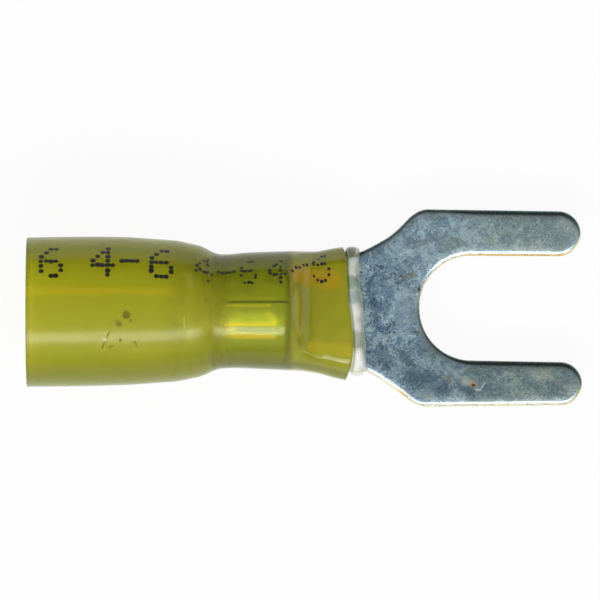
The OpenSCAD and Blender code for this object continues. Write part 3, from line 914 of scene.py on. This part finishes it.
# Marks on the skin: two warm orange patches in front of the barrel; painted light on the front (a brighter -Y facet,
# pale painted highlights on its ridge and crease, painted shade along its top and bottom edges); a painted glow on the
# neck; a painted reflection band along the wide tube's top; a pale patch, a bright spot and a dark crease line of
# painted light and shade where the barrel's rear end lies under the skin; and scuff spots on the wide tube.
sleeve_marks_and_painted_light = [
    ((238, 204, 34), 0.7, (298, 272), (332, 280), 420, 300, 260), ((232, 214, 44), 0.5, (298, 300), (299, 332), 100, 500, 300),
    ((250, 226, 52), 0.7, (312, 346), (348, 351), 190, 200, 120), ((255, 214, 70), 0.7, (316, 338.5), (350, 344), 10, 70, 60),
    ((255, 255, 232), 0.95, (304, 351.5), (318, 357), 8, 50, 20), ((255, 255, 240), 0.95, (318, 357), (347, 363), 14, 50, 20),
    ((154, 156, 14), 0.7, (292, 366), (346, 377), 240, 220, 120), ((150, 154, 16), 0.35, (300, 254), (338, 250), 100, 200, 120),
    ((240, 226, 100), 0.4, (206, 327), (228, 328), 160, 460, 200), ((250, 222, 60), 0.5, (28, 291), (178, 292), 60, 300, 100),
    ((236, 234, 136), 0.5, (190, 276), (191, 338), 80, 260, 160), ((140, 140, 28), 0.55, (202.5, 278), (207, 302), 10, 90, 60),
    ((255, 250, 190), 0.9, (185, 317), (185, 327), 10, 60, 40),
    ((92, 88, 8), 0.85, (127.4, 314.6), (127.6, 315.4), 150, 70, 140),
    ((160, 154, 40), 0.7, (127.2, 314.4), (127.6, 314.8), 30, 60, 60),
    ((112, 106, 34), 0.8, (119.8, 323.4), (120.2, 323.8), 110, 80, 140),
    ((178, 172, 70), 0.7, (118, 321), (118.4, 321.4), 80, 60, 100),
    ((92, 88, 8), 0.85, (131.6, 320.6), (131.9, 320.4), 40, 50, 30),
    ((255, 255, 236), 1.0, (105.4, 339), (105.6, 339.2), 70, 40, 10)]
colour = stain(dye_and_painted_light, colour, sleeve_marks_and_painted_light, on_skin)
scuffs = [((111, 331), (107.8, 337.4), 6), ((105.5, 342), (103.8, 347), 6), ((111.4, 346.6), (113.6, 346.4), 40),
          ((121.4, 340.8), (122, 339.6), 25), ((135.8, 341.6), (138.2, 346), 18)]
scuff_fade, scuff_ragged = 60, 100
rubbed = 0.0
for start, end, core in scuffs:
    rubbed = sums(dye_and_painted_light, "MAXIMUM", rubbed, spot(dye_and_painted_light, on_skin, start, end, core, scuff_fade, scuff_ragged))
colour = layer(dye_and_painted_light, colour, paint(112, 106, 28), rubbed, 0.65)
dye_and_painted_light.links.new(sums(dye_and_painted_light, "MULTIPLY_ADD", rubbed, 0.5, between(dye_and_painted_light, shrunk, 0.0, 1.0, 0.22, 0.1)), result["Roughness"])
dye_and_painted_light.links.new(colour, result["Colour"])
dye_and_painted_light.links.new(drawn, result["Height"])
plastic_shine = 0.22


def yellow_plastic(name, ior, clear, painted_highlight_share=0.0):
    """The yellow plastic, with its painted shade and marks. A share of painted highlight whitens a stripe over the
    barrel, on the skin that is bonded to the melt.
    """
    material, tree, shader = finish(name)
    dye_and_light_node = node(tree, "Group", node_tree=dye_and_painted_light)
    place = axes(tree)
    rows = band(tree, place["Y"], -0.0017, -0.0013, -0.0003, 0.0002)
    run = band(tree, place["X"], -0.0132, -0.0122, -0.01, -0.0097)
    painted_highlight_stripe = times(tree, rows, run)
    tree.links.new(layer(tree, dye_and_light_node.outputs["Colour"], paint(244, 244, 214), painted_highlight_stripe, painted_highlight_share), shader["Base Color"])
    tree.links.new(dye_and_light_node.outputs["Roughness"], shader["Roughness"])
    shader["Transmission Weight"].default_value = clear
    shader["IOR"].default_value = ior
    shader["Specular IOR Level"].default_value = plastic_shine
    bump(tree, shader, dye_and_light_node.outputs["Height"], 0.06, 20 * UM)
    return material


yellow = yellow_plastic("translucent_yellow_plastic", 1.4, 0.82)
bonded = yellow_plastic("yellow_plastic_bonded_to_melt", 1.01, 1.0, 0.8)

# %% Hot melt
melt, tree, shader = finish("milky_hot_melt")
place = axes(tree)
curd = effect(tree, clouds, Scale=1300.0, Detail=3.0, Low=0.35, High=0.65)
strayed = sums(tree, "MULTIPLY_ADD", curd, 0.0002, place["Y"])
colour = layer(tree, paint(226, 232, 222), paint(240, 242, 232), curd)
upper = between(tree, place["Z"], 0.0012, 0.0022, 0.25, 1.0)
# Bands of colour across the bead's upper side along Y: the dark band at the +Y end is painted shade, the white band
# near the -Y end is a painted highlight where the lamp falls, the bands between change its tone, and the last is the
# drop.
bead_zones_and_painted_light = [((126, 136, 94), 250, 320, 0.85), ((220, 230, 220), 261, 360, 0.6), ((143, 165, 138), 280, 440, 0.85),
              ((166, 184, 176), 294, 440, 0.8), ((166, 174, 152), 338, 640, 0.85), ((240, 240, 234), 358.5, 420, 1.0),
              ((196, 196, 146), 373, 380, 0.95)]
zone_core = 0.55
for shade, py, reach, strength in bead_zones_and_painted_light:
    away = sums(tree, "ABSOLUTE", sums(tree, "SUBTRACT", strayed, at(0, py)[1]))
    zone = times(tree, upper, between(tree, away, zone_core * reach * UM, reach * UM, 1.0, 0.0))
    colour = layer(tree, colour, paint(*shade), zone, strength)
toe = node(tree, "Attribute", attribute_name="bead_toe").outputs["Fac"]
# Painted light: the bead's toe, whose slope faces away from the lamp, is lightened to cream.
toe_line = times(tree, toe, between(tree, strayed, -0.0024, -0.002))
colour = layer(tree, colour, paint(246, 244, 190), toe_line, 0.6)
tree.links.new(colour, shader["Base Color"])
shader["Transmission Weight"].default_value = 0.15
shader["IOR"].default_value = 1.4
tree.links.new(between(tree, curd, 0.0, 1.0, 0.14, 0.26), shader["Roughness"])
bump(tree, shader, curd, 0.1, 30 * UM)

film, tree, shader = finish("hot_melt_film")
place = axes(tree)
curd = effect(tree, clouds, Scale=900.0, Detail=3.0, Low=0.35, High=0.65)
tree.links.new(layer(tree, paint(244, 244, 236), paint(236, 238, 224), curd), shader["Base Color"])
shader["IOR"].default_value = 1.1
shader["Roughness"].default_value = 0.3
plug = between(tree, place["X"], -0.00945, -0.009)
specks = between(tree, effect(tree, clouds, Scale=8000.0, Detail=1.0, Low=0.3, High=0.7), 0.0, 1.0, -0.04, 0.04)
behind = between(tree, sums(tree, "ADD", specks, between(tree, place["X"], -0.0162, -0.0138)), 0.1, 0.9)
in_front = between(tree, place["X"], -0.0139, -0.0112, 1.0, 0.0)
ahead = between(tree, sums(tree, "ADD", specks, in_front), 0.1, 0.9)
shoulder = times(tree, times(tree, behind, ahead), 0.7)
thick = sums(tree, "MAXIMUM", times(tree, plug, 0.9), shoulder)
tree.links.new(sums(tree, "MAXIMUM", thick, between(tree, curd, 0.0, 1.0, 0.0, 0.04)), shader["Alpha"])

# %% Ink
ink, tree, shader = finish("black_print_ink")
worn = effect(tree, clouds, Scale=6000.0, Detail=3.0, Low=0.4, High=0.7)
tree.links.new(layer(tree, paint(22, 22, 18), paint(58, 56, 26), worn, 0.7), shader["Base Color"])
tree.links.new(between(tree, worn, 0.0, 1.0, 0.45, 0.6), shader["Roughness"])

put(terminal, tin, sheared, bright)
put(sleeve, yellow, bonded)
put(lining, film, melt)
put(sleeve_print, ink)
for n in copper_faces:
    terminal.data.polygons[n].material_index = 1
for n in range(first_barrel_face, len(metal_faces)):
    terminal.data.polygons[n].material_index = 2
for n, face in enumerate(sleeve.data.polygons):
    x, inner = sleeve_rings[n // ring_count]
    face.material_index = 1 if inner == sleeve_wall and x > bond_x else 0
for n, face in enumerate(lining.data.polygons):
    face.material_index = 1 if bead_first <= n // ring_count < bead_last else 0
print("finishes:", [m.name for m in bpy.data.materials if m.users])

# %% [markdown]
# ## Pieces ride on the frame
#
# The terminal has no moving part, so every piece rides on the one body. Three meshes stand for their CAD nodes. The
# print has no node of its own.

# %% Ride
for piece, cad_node, slot in ((terminal, "fork_and_barrel", "tinned_copper"),
                              (sleeve, "heat_shrink_sleeve", "yellow_sleeve"), (lining, "adhesive_liner", "hot_melt")):
    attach(piece, "root")
    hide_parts(cad_node)
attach(sleeve_print, "root")

# %% [markdown]
# ## Floor and light
#
# The photograph lies on pure white with one broad lamp on the -Y side. The floor is white for the camera, for
# reflections and through the plastic, and keeps a faint shadow. The room is bright on the lamp's side and dark on the
# other, so that the tin shows both. The tin's edges that face away from the lamp also get painted shade in its finish,
# by the way they face.

# %% Floor
floor_gap, floor_half = 0.03 * MM, 2
paper_grey, white_share = 0.88, 0.94
floor_z = cad_low[2] - floor_gap
floor = bpy.data.objects.new("floor", bpy.data.meshes.new("floor"))
corners = [(x * floor_half, y * floor_half, floor_z) for x, y in ((-1, -1), (1, -1), (1, 1), (-1, 1))]
floor.data.from_pydata(corners, [], [[0, 1, 2, 3]])
bpy.context.scene.collection.objects.link(floor)
white, tree, _ = finish("white_paper_floor")
tree.nodes.clear()
path = node(tree, "LightPath")
seen = sums(tree, "MAXIMUM", path.outputs["Is Camera Ray"], path.outputs["Is Transmission Ray"])
seen = sums(tree, "MAXIMUM", seen, path.outputs["Is Glossy Ray"])
paper = node(tree, "BsdfDiffuse")
paper.inputs["Color"].default_value = (paper_grey, paper_grey, paper_grey, 1)
glow = node(tree, "Emission")
glow.inputs["Strength"].default_value = 1.0
mixed = node(tree, "MixShader")
tree.links.new(times(tree, seen, white_share), mixed.inputs[0])
tree.links.new(paper.outputs[0], mixed.inputs[1])
tree.links.new(glow.outputs[0], mixed.inputs[2])
tree.links.new(mixed.outputs[0], node(tree, "OutputMaterial").inputs["Surface"])
floor.data.materials.append(white)

# %% Lamp and room
lamp_x = -0.0087


def add_lamp(name, lean, distance, long, wide, watts):
    """A long area lamp on the -Y side, leaning by a number of degrees from straight above."""
    lamp = bpy.data.objects.new(name, bpy.data.lights.new(name, "AREA"))
    lamp.data.shape = "RECTANGLE"
    lamp.data.size, lamp.data.size_y = long, wide
    lamp.data.energy = watts
    a = math.radians(lean)
    lamp.location = (lamp_x, -distance * math.sin(a), distance * math.cos(a))
    lamp.rotation_euler = (a, 0, 0)
    bpy.context.scene.collection.objects.link(lamp)
    return lamp


add_lamp("window_lamp", lean=40, distance=0.22, long=0.3, wide=0.06, watts=0.34)
lamp_side, overhead, far_side = (0.95, 0.95, 0.95, 1), (0.5, 0.52, 0.54, 1), (0.16, 0.165, 0.165, 1)
room = bpy.data.worlds.new("room")
bpy.context.scene.world = room
room.use_nodes = True
tree = room.node_tree
way = axes(tree, "Generated")
shades = node(tree, "ValToRGB")
ramp = shades.color_ramp
ramp.elements[0].position, ramp.elements[0].color = 0.15, lamp_side
ramp.elements[1].position, ramp.elements[1].color = 0.85, far_side
ramp.elements.new(0.5).color = overhead
tree.links.new(sums(tree, "MULTIPLY_ADD", way["Y"], 0.5, 0.5), shades.inputs["Fac"])
path = node(tree, "LightPath")
back = tree.nodes["Background"]
horizon = between(tree, way["Z"], 0.0, 0.5, 0.25, 1.0)
dimmed = layer(tree, shades.outputs["Color"], horizon, 1.0, blend="MULTIPLY")
seen = sums(tree, "MAXIMUM", path.outputs["Is Camera Ray"], path.outputs["Is Transmission Ray"])
tree.links.new(layer(tree, dimmed, (1, 1, 1, 1), seen), back.inputs["Color"])
back.inputs["Strength"].default_value = 1.0
bpy.context.scene.view_settings.view_transform = "Standard"
